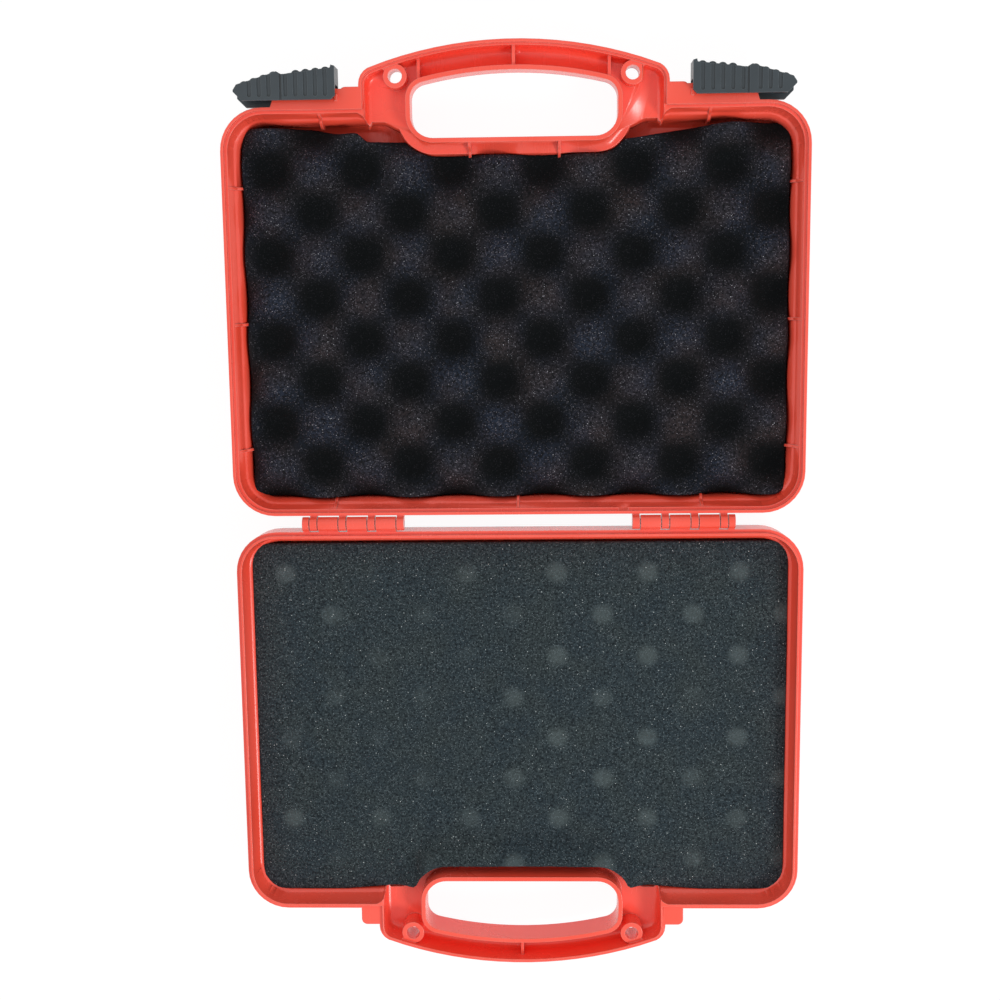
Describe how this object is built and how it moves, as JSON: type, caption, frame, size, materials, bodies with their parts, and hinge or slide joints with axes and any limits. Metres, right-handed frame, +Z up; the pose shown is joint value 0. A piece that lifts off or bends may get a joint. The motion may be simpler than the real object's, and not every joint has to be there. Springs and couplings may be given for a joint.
{
  "type": "otoscope carry case",
  "caption": "Hinged plastic carry case lying open, with a moulded carry handle, sliding latches, a flat foam sheet in the base and profiled foam in the lid.",
  "frame": {"origin": "on the table under the middle of the hinge line, with the case lying open", "axes": "+Z up, +X along the hinge line to the right, +Y from the hinge line towards the handle of the lid; the base lies on the -Y side"},
  "size_m": [0.235, 0.3856, 0.029],
  "materials": {
    "red_plastic": "smooth coral-red moulded plastic with a soft gloss",
    "black_plastic": "satin black moulded plastic",
    "pin_steel": "drawn steel wire",
    "grey_foam": "fine-celled dark grey foam with light flecks",
    "dark_foam": "profiled charcoal foam with light flecks"
  },
  "bodies": {
    "base": {"base_shell": "red_plastic", "base_foam": "grey_foam", "hinge_pin_left": "pin_steel", "hinge_pin_right": "pin_steel"},
    "lid": {"lid_shell": "red_plastic", "lid_foam": "dark_foam"},
    "latch_left": {"latch_left": "black_plastic"},
    "latch_right": {"latch_right": "black_plastic"}
  },
  "joints": [
    {"name": "lid_hinge", "type": "hinge", "parent": "base", "child": "lid", "pos_m": [0, 0, 0.024], "axis": [1, 0, 0], "range_deg": [0, 180]},
    {"name": "latch_left_slide", "type": "slide", "parent": "lid", "child": "latch_left", "axis": [1, 0, 0], "range_m": [0, 0.0082]},
    {"name": "latch_right_slide", "type": "slide", "parent": "lid", "child": "latch_right", "axis": [-1, 0, 0], "range_m": [0, 0.0082]}
  ]
}
